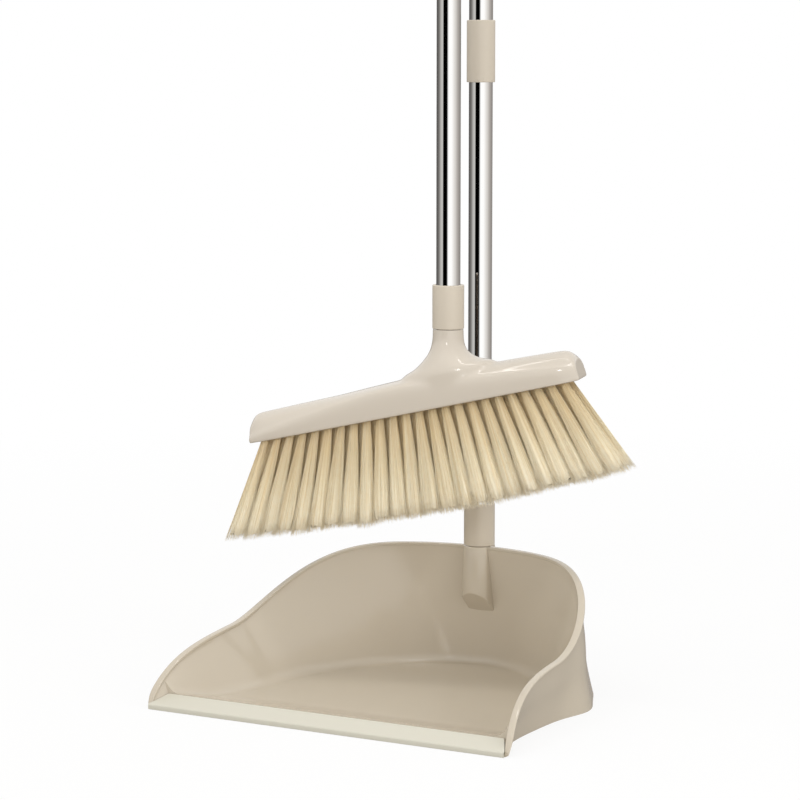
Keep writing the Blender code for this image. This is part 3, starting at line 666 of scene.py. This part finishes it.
def make_clip():
    z0, z1 = CLIP_Z
    py, by = PAN_AXIS_Y, BROOM_AXIS_Y
    right = []
    for a in range(90, -61, -5):
        t = math.radians(a)
        right.append((13.2 * math.cos(t), py + 13.2 * math.sin(t)))
    right += [(5.6, py - 13.4), (5.1, py - 15.5), (5.0, py - 18.0), (5.0, by + 17.0), (5.2, by + 14.6), (5.9, by + 12.6)]
    for a in range(58, -1, -5):
        t = math.radians(a)
        right.append((13.0 * math.cos(t), by + 13.0 * math.sin(t)))
    right += [(12.9, by - 3.0), (12.85, by - 6.0), (13.5, by - 8.2), (14.4, by - 10.0), (14.5, by - 10.9), (13.9, by - 11.6), (12.9, by - 11.5),
              (11.6, by - 10.3), (10.2, by - 8.0), (9.85, by - 6.2), (9.75, by - 3.0)]
    for a in range(0, 90, 5):
        t = math.radians(a)
        right.append((SLEEVE_IN * math.cos(t), by + SLEEVE_IN * math.sin(t)))
    left = [(-x, y) for x, y in reversed(right)]
    outline = right + [(0.0, by + SLEEVE_IN)] + left[:-1]
    n = len(outline)

    def inset(d):
        out = []
        for i in range(n):
            (ax, ay), (bx, by_), (cx, cy) = outline[i - 1], outline[i], outline[(i + 1) % n]
            tx, ty = cx - ax, cy - ay
            m = math.hypot(tx, ty)
            out.append((bx - ty / m * -d, by_ + tx / m * -d))
        return out

    rings = []
    for d, z in ((0.8, 0.0), (0.35, 0.15), (0.1, 0.4), (0.0, 0.8)):
        rings.append([(x, y, z0 + z) for x, y in inset(d)])
    for d, z in ((0.0, 0.8), (0.1, 0.4), (0.35, 0.15), (0.8, 0.0)):
        rings.append([(x, y, z1 - z) for x, y in inset(d)])
    ob = add_object("holding_clip", solid_of_rings(rings), FIT_MAT, sharp=35.0)
    hole = add_object("hole_tool", turned([(0, z0 - 5.0), (SLEEVE_IN, z0 - 5.0), (SLEEVE_IN, z1 + 5.0), (0, z1 + 5.0)], py), FIT_MAT)
    combine(ob, [(hole, "DIFFERENCE")], sharp=30.0)
    finish_piece(ob, "clip", ["broom_clip"])


# ------------------------------------------------------------------ broom head
def head_matrix():
    return (Matrix.Translation((0.0, BROOM_AXIS_Y, HEAD_Z)) @ Matrix.Rotation(HEAD_YAW, 4, "Z")
            @ Matrix.Rotation(-HEAD_TILT, 4, "Y") @ Matrix.Translation((-HEAD_U, 0.0, 0.0)))


def spline(points, steps, closed=False):
    """Catmull-Rom through the points; tuples of any length."""
    out = []
    m = len(points)
    for i in range(m if closed else m - 1):
        p0 = points[i - 1] if (closed or i > 0) else points[0]
        p1, p2 = points[i], points[(i + 1) % m]
        p3 = points[(i + 2) % m] if (closed or i + 2 < m) else points[-1]
        for k in range(steps):
            t = k / steps
            out.append(tuple(0.5 * ((2 * b) + (-a + c) * t + (2 * a - 5 * b + 4 * c - d) * t * t + (-a + 3 * b - 3 * c + d) * t ** 3)
                             for a, b, c, d in zip(p0, p1, p2, p3)))
    if not closed:
        out.append(tuple(points[-1]))
    return out


def head_section(u):
    e = min(1.0, abs(u) / HEAD_L)
    b = HEAD_B * (1.0 - 0.10 * e ** 2 - 0.20 * e ** 14)
    left = max(0.0, -u)
    top = 26.2 - 2.5 * e ** 2 - 8.0 * e ** 44 - 2.4 * min(1.0, left / 60.0) + 1.2 * (left / HEAD_L) ** 18
    face = 23.0 - 11.5 * e ** 1.3 + (1.8 if u > 0 else -4.2) * e ** 2 - 1.0 * e ** 24
    rise = top - face
    half = [(b, 0.8), (b + 0.3, face * 0.5), (b - 0.6, face - 1.8), (b - 2.6, face + 0.5),
            (b * 0.66, face + rise * 0.55), (b * 0.36, top - 0.16 * rise), (0.0, top)]
    other = [(-v, w) for v, w in reversed(half[:-1])]
    curve = spline(half + other, 6)
    return [(u, v, w) for v, w in [(b - 0.8, 0.0)] + curve + [(-(b - 0.8), 0.0)]]


def head_body():
    n = 120
    us = [HEAD_L * math.sin(math.pi / 2 * (-1.0 + 2.0 * i / n)) for i in range(n + 1)]
    rings = []
    for u in us:
        lean = 2.0 * max(0.0, abs(u) / HEAD_L - 0.9) / 0.1
        sgn = 1.0 if u > 0 else -1.0
        rings.append([(p[0] - sgn * lean * (p[2] / 22.0), p[1], p[2]) for p in head_section(u)])
    return solid_of_rings(rings)


def neck_body():
    m = head_matrix().inverted()
    n = 96
    levels = spline([(NECK_TOP + 3.0, 12.3, 12.3, 0.0), (279.0, 12.3, 12.4, 0.0), (274.0, 12.6, 12.9, 0.0), (267.5, 14.4, 15.0, 0.25), (262.0, 18.6, 17.8, 0.55),
                     (256.0, 27.0, 20.8, 0.85), (251.5, 38.0, 22.3, 1.0), (240.0, 41.0, 22.6, 1.0)], 8)
    rings = []
    for z, ru, rv, k in levels:
        ring = []
        for i in range(n):
            a = 2 * math.pi * i / n
            p = Vector((ru * math.cos(a), rv * math.sin(a), 0.0))
            p = Matrix.Rotation(HEAD_YAW, 3, "Z") @ (Matrix.Rotation(-HEAD_TILT * k, 3, "Y") @ p)
            p = m @ (Vector((0.0, BROOM_AXIS_Y, z)) + p)
            ring.append(tuple(p))
        rings.append(ring)
    return solid_of_rings(rings)


def block_outline(grow, n=160):
    pts = []
    ax, ay = HEAD_L - 6.0 + grow, HEAD_B - 4.4 + grow
    for i in range(n):
        a = 2 * math.pi * i / n
        c, s = math.cos(a), math.sin(a)
        pts.append((ax * math.copysign(abs(c) ** 0.35, c), ay * math.copysign(abs(s) ** 0.5, s)))
    return pts


def make_head():
    m = head_matrix()
    head = add_object("head_cap", head_body(), HEAD_MAT, matrix=m)
    neck = add_object("neck_tool", neck_body(), HEAD_MAT, matrix=m)
    combine(head, [(neck, "UNION")])
    remesh = head.modifiers.new("skin", "REMESH")
    remesh.mode = "VOXEL"
    remesh.voxel_size = 0.0009
    settle(head, None, HEAD_MAT)
    near = head.vertex_groups.new(name="near_neck")
    rest = head.vertex_groups.new(name="all_over")
    back = m.inverted()
    for v in head.data.vertices:
        p = v.co / MM
        d = math.hypot(p.x, p.y - BROOM_AXIS_Y)
        k = min(1.0, max(0.0, (62.0 - d) / 30.0))
        low = min(1.0, max(0.0, ((back @ p).z - 3.0) / 6.0))
        near.add([v.index], k * k * (3.0 - 2.0 * k) * low, "REPLACE")
        rest.add([v.index], 1.0, "REPLACE")
    for name, group, turns in (("soften", "all_over", 4), ("blend", "near_neck", 60)):
        soft = head.modifiers.new(name, "SMOOTH")
        soft.factor = 0.5
        soft.iterations = turns
        soft.vertex_group = group
    settle(head, None, HEAD_MAT)
    above = add_object("above_tool", box((-40.0, BROOM_AXIS_Y - 40.0, NECK_TOP), (40.0, BROOM_AXIS_Y + 40.0, NECK_TOP + 30.0)), HEAD_MAT)
    bore = add_object("bore_tool", turned([(0, 251.0), (SOCKET_R, 251.0), (SOCKET_R, 275.0), (SOCKET_R, NECK_TOP + 40.0), (0, NECK_TOP + 40.0)], BROOM_AXIS_Y, 48), HEAD_MAT)
    low = block_outline(GAP)
    pocket = add_object("pocket_tool", solid_of_rings([[(x, y, -4.0) for x, y in low], [(x, y, BLOCK_T + GAP) for x, y in low]]), HEAD_MAT, matrix=m)
    combine(head, [(above, "DIFFERENCE"), (bore, "DIFFERENCE"), (pocket, "DIFFERENCE")], sharp=40.0)
    finish_piece(head, "broom_head", ["head_shell"])

    rings = []
    for inset, w in ((-1.0, 0.2), (-0.4, 0.35), (0.0, 0.8), (0.0, BLOCK_T)):
        rings.append([(x, y, w) for x, y in block_outline(inset)])
    block = add_object("bristle_block", solid_of_rings(rings), BLOCK_MAT, matrix=m)
    finish_piece(block, "broom_head", ["tuft_block"])


def tuft_angle(u):
    t = (u - TUFT_FIRST) / (TUFT_LAST - TUFT_FIRST)
    return np.radians(FAN_LEFT + (FAN_RIGHT - FAN_LEFT) * t)


def make_bristles():
    """Tufts of thin tapered fibres, packed round a fluted core and merging at the tips."""
    m = np.array(head_matrix())
    pitch = (TUFT_LAST - TUFT_FIRST) / (TUFTS - 1)
    skin, inside = ((112, 64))
    rings_n = 7
    core_n, core_rings = 60, 12
    for row, v0 in enumerate(ROWS):
        shift = 0.0 if row % 2 == 0 else pitch / 2
        count = TUFTS if row % 2 == 0 else TUFTS - 1
        roots = TUFT_FIRST + shift + pitch * np.arange(count)
        tuft_len = RNG.normal(0, 0.7, count)
        swing = RNG.normal(0, 0.008, count)
        wide = 8.3 + RNG.normal(0, 0.35, count)
        deep = 6.4

        def place(u0, angle, cu, cv, wide_u, t, d):
            """Head coordinates of a fibre whose place in the tuft is (cu, cv)."""
            u = u0 + np.sin(angle) * d + cu * (2.85 + (wide_u - 2.85) * t ** 1.05)
            v = v0 * (1.0 + 0.75 * t) + cv * (2.85 + (deep - 2.85) * t)
            return u, v, -np.cos(angle) * d

        verts, faces, along, tint = [], [], [], []
        base = 0
        # cores: closed fluted lofts
        th = np.linspace(0, 2 * np.pi, core_n, endpoint=False)
        for c in range(count):
            flute = 0.93 + 0.035 * RNG.normal(0, 1, core_n).clip(-1.6, 1.2)
            drift = RNG.normal(0, 0.02, (core_rings, core_n)).cumsum(axis=0) * 0.6
            shade = RNG.uniform(0.15, 0.9, core_n)
            ragged = RNG.normal(-0.6, 0.7, core_n)
            for i in range(core_rings):
                t = 0.95 * i / (core_rings - 1)
                fade = max(0.0, (t - 0.72) / 0.23) ** 2
                d = (TUFT_LEN + tuft_len[c]) * t - 1.5 * (1 - t) + (ragged if i == core_rings - 1 else 0.0)
                k = (flute + drift[i]) * (0.97 - 0.24 * fade)
                u, v, w = place(roots[c], tuft_angle(roots[c]) + swing[c], k * np.cos(th), k * np.sin(th), wide[c], t, d)
                verts.append(np.stack([u, v, np.broadcast_to(w, u.shape)], axis=-1))
                along.append(np.full(core_n, t))
                tint.append(shade)
            j = np.arange(core_n)
            for i in range(core_rings - 1):
                a = base + i * core_n + j
                b = base + i * core_n + (j + 1) % core_n
                faces += np.stack([a, a + core_n, b + core_n, b], axis=-1).tolist()
            faces.append((base + j).tolist())
            faces.append((base + (core_rings - 1) * core_n + j[::-1]).tolist())
            base += core_n * core_rings
        # fibres
        per = skin + inside
        n = count * per
        u0 = np.repeat(roots, per)
        outer = np.tile(np.arange(per) < skin, count)
        rho = np.where(outer, 0.985 + RNG.normal(0, 0.02, n), np.sqrt(RNG.uniform(0.02, 0.9, n)))
        phi = RNG.uniform(0, 2 * np.pi, n)
        t0 = np.where(outer, 0.0, 0.87)
        length = TUFT_LEN + np.repeat(tuft_len, per) + RNG.normal(0, 0.9, n) - 1.3 * rho ** 2
        angle = tuft_angle(u0) + np.repeat(swing, per)
        stray = RNG.random(n) < 0.014
        tip_u = RNG.normal(0, 0.45, n) + stray * RNG.normal(0, 3.5, n)
        tip_v = RNG.normal(0, 0.45, n) + stray * RNG.normal(0, 2.5, n)
        bend = RNG.normal(0, 0.14, (2, n))
        wave = RNG.uniform(0, 6.28, n)
        fibre_tint = np.clip(RNG.beta(2.0, 2.0, n), 0, 1)
        radius = 0.12 + 0.06 * RNG.random(n)
        s = np.linspace(0.0, 1.0, rings_n)
        t = t0[:, None] + (1 - t0[:, None]) * s[None, :]
        d = t * length[:, None] - 1.5 * (1 - t)
        u, v, w = place(u0[:, None], angle[:, None], (rho * np.cos(phi))[:, None], (rho * np.sin(phi))[:, None], np.repeat(wide, per)[:, None], t, d)
        bow = np.sin(np.pi * s)[None, :]
        u = u + bend[0][:, None] * bow + tip_u[:, None] * t ** 5 + 0.1 * np.sin(wave[:, None] + 9.0 * t) * t
        v = v + bend[1][:, None] * bow + tip_v[:, None] * t ** 5
        r = radius[:, None] * (1.0 - 0.4 * t ** 4)
        r[:, -1] *= 0.5
        ang = np.array([0.0, 2.0944, 4.18879])[None, None, :] + wave[:, None, None]
        pu = u[:, :, None] + r[:, :, None] * np.cos(ang)
        pv = v[:, :, None] + r[:, :, None] * np.sin(ang)
        pw = np.repeat(w[:, :, None], 3, axis=2)
        verts.append(np.stack([pu, pv, pw], axis=-1).reshape(-1, 3))
        along.append(np.repeat(t.ravel(), 3))
        tint.append(np.repeat(fibre_tint, rings_n * 3))
        start = base + (np.arange(n) * rings_n * 3)[:, None]
        quads = []
        for i in range(rings_n - 1):
            for j in range(3):
                a, b = i * 3 + j, i * 3 + (j + 1) % 3
                quads.append((a, a + 3, b + 3, b))
        quads = np.array(quads)
        faces += (start[:, :, None] + quads[None, :, :]).reshape(-1, 4).tolist()
        faces += (start + np.array([[0, 1, 2]])).tolist()
        faces += (start + (rings_n - 1) * 3 + np.array([[2, 1, 0]])).tolist()

        pts = np.concatenate([x.reshape(-1, 3) for x in verts])
        pts = np.concatenate([pts, np.ones((len(pts), 1))], axis=1) @ m.T
        mesh = bpy.data.meshes.new("bristle_row_%d" % (row + 1))
        mesh.from_pydata((pts[:, :3] * MM).tolist(), [], faces)
        mesh.shade_smooth()
        a = mesh.attributes.new("along", "FLOAT", "POINT")
        a.data.foreach_set("value", np.concatenate(along).astype(np.float32))
        a = mesh.attributes.new("tint", "FLOAT", "POINT")
        a.data.foreach_set("value", np.concatenate(tint).astype(np.float32))
        mesh.materials.append(BRISTLE_MAT)
        ob = bpy.data.objects.new("bristle_row_%d" % (row + 1), mesh)
        SCENE.collection.objects.link(ob)
        ob.visible_glossy = False
        finish_piece(ob, "broom_head", ["tuft_row_%d" % (row + 1)])


# ------------------------------------------------------------------- the stage
FLOOR_GLOW = 0.86


def make_stage():
    mesh = bpy.data.meshes.new("studio_floor")
    s = 9.0
    mesh.from_pydata([(-s, -s, 0.0), (s, -s, 0.0), (s, s, 0.0), (-s, s, 0.0)], [], [(0, 1, 2, 3)])
    floor = bpy.data.objects.new("studio_floor", mesh)
    SCENE.collection.objects.link(floor)
    m = bpy.data.materials.new("pale_floor")
    m.use_nodes = True
    nt = m.node_tree
    bsdf = nt.nodes["Principled BSDF"]
    out = nt.nodes["Material Output"]
    coord = nt.nodes.new("ShaderNodeTexCoord")
    n = noise_node(nt, coord.outputs["Object"], 3.0, 2.0)
    nt.links.new(mix_colour(nt, n.outputs["Fac"], (0.86, 0.86, 0.855, 1.0), (0.9, 0.9, 0.895, 1.0)), bsdf.inputs["Base Color"])
    bsdf.inputs["Roughness"].default_value = 0.9
    bsdf.inputs["Specular IOR Level"].default_value = 0.1
    glow = nt.nodes.new("ShaderNodeEmission")
    glow.inputs["Color"].default_value = (1.0, 1.0, 1.0, 1.0)
    glow.inputs["Strength"].default_value = 1.0
    dist = nt.nodes.new("ShaderNodeVectorMath")
    dist.operation = "LENGTH"
    nt.links.new(coord.outputs["Object"], dist.inputs[0])
    mixer = nt.nodes.new("ShaderNodeMixShader")
    nt.links.new(map_range(nt, dist.outputs["Value"], 0.35, 1.6, FLOOR_GLOW, 1.0), mixer.inputs["Fac"])
    nt.links.new(bsdf.outputs["BSDF"], mixer.inputs[1])
    nt.links.new(glow.outputs["Emission"], mixer.inputs[2])
    dim = nt.nodes.new("ShaderNodeBsdfDiffuse")
    dim.inputs["Color"].default_value = (0.58, 0.57, 0.555, 1.0)
    path = nt.nodes.new("ShaderNodeLightPath")
    chooser = nt.nodes.new("ShaderNodeMixShader")
    nt.links.new(path.outputs["Is Camera Ray"], chooser.inputs["Fac"])
    nt.links.new(dim.outputs["BSDF"], chooser.inputs[1])
    nt.links.new(mixer.outputs["Shader"], chooser.inputs[2])
    nt.links.new(chooser.outputs["Shader"], out.inputs["Surface"])
    mesh.materials.append(m)
    floor.visible_glossy = False


def make_world():
    """White backdrop, even fill, and a banded studio for what shines."""
    world = bpy.data.worlds.new("studio")
    SCENE.world = world
    world.use_nodes = True
    nt = world.node_tree
    nt.nodes.clear()
    out = nt.nodes.new("ShaderNodeOutputWorld")
    coord = nt.nodes.new("ShaderNodeTexCoord")
    sep = nt.nodes.new("ShaderNodeSeparateXYZ")
    nt.links.new(coord.outputs["Generated"], sep.inputs[0])

    def maths(op, a, b=None):
        n = nt.nodes.new("ShaderNodeMath")
        n.operation = op
        for i, v in enumerate((a, b)):
            if v is None:
                continue
            if isinstance(v, (int, float)):
                n.inputs[i].default_value = v
            else:
                nt.links.new(v, n.inputs[i])
        return n.outputs[0]

    turn = maths("ARCTAN2", sep.outputs["X"], maths("MULTIPLY", sep.outputs["Y"], -1.0))
    turn = maths("DIVIDE", maths("SUBTRACT", turn, math.radians(29.77)), 2.0 * math.pi)
    turn = maths("FRACT", maths("ADD", turn, 1.5))
    ramp = nt.nodes.new("ShaderNodeValToRGB")
    ramp.color_ramp.interpolation = "LINEAR"
    stops = [(-180, 0.1, 0.095, 0.09), (-133, 0.125, 0.12, 0.115), (-113, 0.175, 0.165, 0.155), (-97, 0.28, 0.27, 0.26), (-84, 0.5, 0.49, 0.47),
             (-71, 0.63, 0.62, 0.6), (-57, 0.64, 0.63, 0.61), (-52, 0.0, 0.0, 0.0), (-15, 0.0, 0.0, 0.0), (-6, 0.9, 0.9, 0.9), (0, 1.25, 1.25, 1.25),
             (30, 1.22, 1.21, 1.2), (39, 1.1, 1.08, 1.06), (49, 1.0, 0.97, 0.94), (60, 0.87, 0.84, 0.8), (71, 0.79, 0.755, 0.72), (84, 0.61, 0.575, 0.54),
             (97, 0.51, 0.475, 0.445), (113, 0.41, 0.38, 0.355), (133, 0.33, 0.305, 0.285), (180, 0.3, 0.275, 0.255)]
    els = ramp.color_ramp.elements
    els[0].position, els[0].color = 0.0, (*stops[0][1:], 1.0)
    els[1].position, els[1].color = 1.0, (*stops[-1][1:], 1.0)
    for deg, r, g, b in stops[1:-1]:
        e = els.new((deg + 180.0) / 360.0)
        e.color = (r, g, b, 1.0)
    nt.links.new(turn, ramp.inputs["Fac"])
    lift = nt.nodes.new("ShaderNodeMapRange")
    lift.interpolation_type = "SMOOTHSTEP"
    lift.inputs["From Min"].default_value = 0.04
    lift.inputs["From Max"].default_value = 0.16
    nt.links.new(sep.outputs["Z"], lift.inputs["Value"])
    soft = mix_colour(nt, lift.outputs["Result"], ramp.outputs["Color"], (1.0, 0.99, 0.975, 1.0))

    def background(colour, strength):
        n = nt.nodes.new("ShaderNodeBackground")
        if isinstance(colour, tuple):
            n.inputs["Color"].default_value = colour
        else:
            nt.links.new(colour, n.inputs["Color"])
        n.inputs["Strength"].default_value = strength
        return n.outputs[0]

    studio = background(soft, 1.0)
    fill = background((1.0, 0.99, 0.975, 1.0), 0.86)
    white = background((1.0, 1.0, 1.0, 1.0), 1.0)
    path = nt.nodes.new("ShaderNodeLightPath")
    m1 = nt.nodes.new("ShaderNodeMixShader")
    nt.links.new(path.outputs["Is Glossy Ray"], m1.inputs[0])
    nt.links.new(fill, m1.inputs[1])
    nt.links.new(studio, m1.inputs[2])
    m2 = nt.nodes.new("ShaderNodeMixShader")
    nt.links.new(path.outputs["Is Camera Ray"], m2.inputs[0])
    nt.links.new(m1.outputs[0], m2.inputs[1])
    nt.links.new(white, m2.inputs[2])
    nt.links.new(m2.outputs[0], out.inputs["Surface"])


def area_light(name, place, target, size, power, colour, glossy=True):
    data = bpy.data.lights.new(name, "AREA")
    data.shape = "RECTANGLE"
    data.size, data.size_y = size
    data.energy = power
    data.color = colour
    ob = bpy.data.objects.new(name, data)
    ob.location = place
    ob.rotation_euler = (Vector(target) - Vector(place)).to_track_quat("-Z", "Y").to_euler()
    SCENE.collection.objects.link(ob)
    ob.visible_camera = False
    ob.visible_glossy = glossy
    return ob


def make_lights():
    warm = (1.0, 0.985, 0.965)
    area_light("overhead", (0.0, -0.35, 2.3), (0.0, 0.0, 0.1), (1.5, 1.5), 2.0, warm)
    area_light("ridge_strip", (0.0, 0.0, 2.0), (0.0, 0.02, 0.1), (1.4, 0.14), 4.8, warm)
    area_light("right_bank", (1.9, -0.5, 0.55), (0.0, 0.0, 0.12), (1.0, 0.8), 6.6, warm, False)
    area_light("low_front", (0.3, -2.3, 0.35), (0.0, 0.0, 0.15), (1.4, 0.5), 3.9, warm, False)
    area_light("front_glint", (0.75, -1.9, 1.05), (0.0, 0.0, 0.2), (0.2, 0.2), 3.2, warm)
    area_light("left_glint", (-0.5, -1.1, 1.75), (0.0, 0.1, 0.05), (0.24, 0.24), 1.6, warm)


def make_camera():
    cam = bpy.data.cameras.new("camera")
    cam.lens = 129.38
    cam.sensor_width = 36.0
    cam.clip_end = 50.0
    ob = bpy.data.objects.new("camera", cam)
    ob.location = (1.08526, -1.91002, 0.50556)
    ob.rotation_euler = (math.radians(90.0 - 7.045), 0.0, math.radians(29.766))
    SCENE.collection.objects.link(ob)
    SCENE.camera = ob


make_pan()
make_poles()
make_clip()
make_head()
make_bristles()
for plug in ("pan_socket_plug", "pan_coupler_plug", "broom_neck_plug", "broom_coupler_plug"):
    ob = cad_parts[plug]
    ob.data.materials.clear()
    ob.data.materials.append(PLUG_MAT)
make_stage()
make_world()
make_lights()
make_camera()
SCENE.view_settings.view_transform = "Standard"
SCENE.view_settings.look = "None"
SCENE.view_settings.exposure = 0.0
SCENE.view_settings.gamma = 1.0
